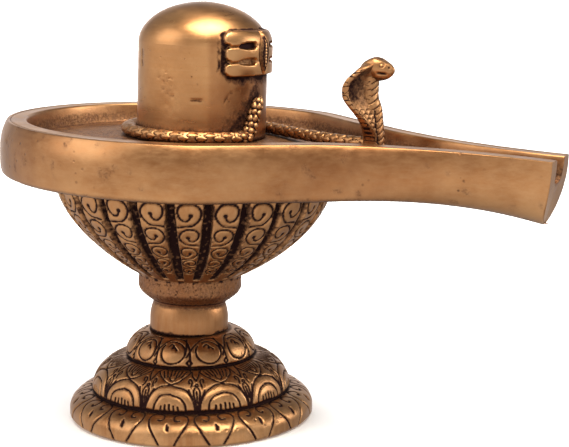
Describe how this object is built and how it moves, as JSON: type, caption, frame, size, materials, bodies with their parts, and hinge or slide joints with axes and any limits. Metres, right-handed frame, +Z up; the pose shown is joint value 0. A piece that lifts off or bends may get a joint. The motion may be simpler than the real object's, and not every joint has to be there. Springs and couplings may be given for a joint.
{
  "type": "shiva lingam",
  "caption": "Cast brass shiva lingam: domed lingam in a spouted yoni basin with a coiled hooded cobra, on a ribbed cup and stepped lotus foot.",
  "frame": {"origin": "middle of the foot's flat underside", "axes": "+X along the spout from the foot's axis, +Z up, +Y the far side"},
  "size_m": [0.2314, 0.1584, 0.1724],
  "materials": {
    "foot": "aged, dark in the engraving",
    "bowl": "aged, dark in the engraving",
    "yoni_basin": "brushed, lightly aged",
    "lingam": "brushed, lightly aged",
    "cobra": "aged, dark in the scales"
  },
  "bodies": {
    "root": {"foot": "foot", "bowl": "bowl", "yoni_basin": "yoni_basin", "lingam": "lingam", "cobra": "cobra"}
  },
  "joints": []
}
